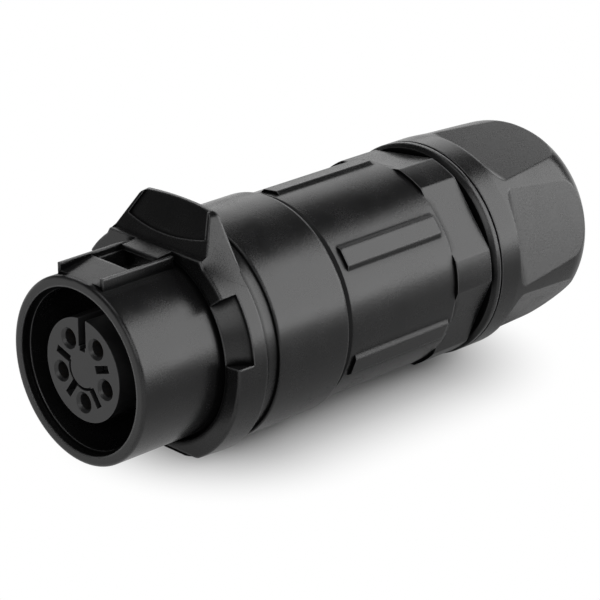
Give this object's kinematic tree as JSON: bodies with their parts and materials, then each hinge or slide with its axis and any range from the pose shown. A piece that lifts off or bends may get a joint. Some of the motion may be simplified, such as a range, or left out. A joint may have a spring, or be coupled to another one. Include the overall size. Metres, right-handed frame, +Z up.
{
  "type": "inline socket connector",
  "caption": "Round inline cable socket with a keyed contact insert in a mating collar, a sprung locking ring with a thumb tab, a ribbed body and a domed clamp nut.",
  "frame": {"origin": "on the connector's axis, in the plane of the mating rim", "axes": "+X along the axis from the mating end to the cable end, +Z up through the thumb tab"},
  "size_m": [0.0785, 0.0292, 0.0315],
  "materials": {
    "shell": "satin moulded black nylon",
    "insert": "matt moulded dark grey",
    "brass": "gold-plated",
    "steel": "drawn wire",
    "rubber": "matt rubber"
  },
  "bodies": {
    "housing": {"front_shell": "shell", "body_sleeve": "shell", "rear_body": "shell", "contact_insert": "insert", "insert_retainer": "insert", "mating_seal": "rubber", "shell_o_ring": "rubber", "latch_spring": "steel", "contact_1": "brass", "contact_2": "brass", "contact_3": "brass", "contact_4": "brass", "contact_5": "brass"},
    "ring": {"locking_ring": "shell"},
    "cage": {"clamp_cage": "insert", "cable_seal": "rubber"},
    "nut": {"clamp_nut": "shell"}
  },
  "joints": [
    {"name": "ring_slide", "type": "slide", "parent": "housing", "child": "ring", "axis": [1, 0, 0], "range_m": [0, 0.0017], "stiffness_N_per_m": 400, "springref_m": -0.004, "deforming": ["latch_spring"]},
    {"name": "nut_advance", "type": "slide", "parent": "housing", "child": "cage", "axis": [1, 0, 0], "range_m": [0, 0.00225]},
    {"name": "nut_turn", "type": "hinge", "parent": "cage", "child": "nut", "pos_m": [0.067, 0, 0], "axis": [1, 0, 0], "range_deg": [0, 542]}
  ],
  "couplings": [
    {"joint": "nut_turn", "follows": "nut_advance", "rad_per_m": 4188.8}
  ]
}
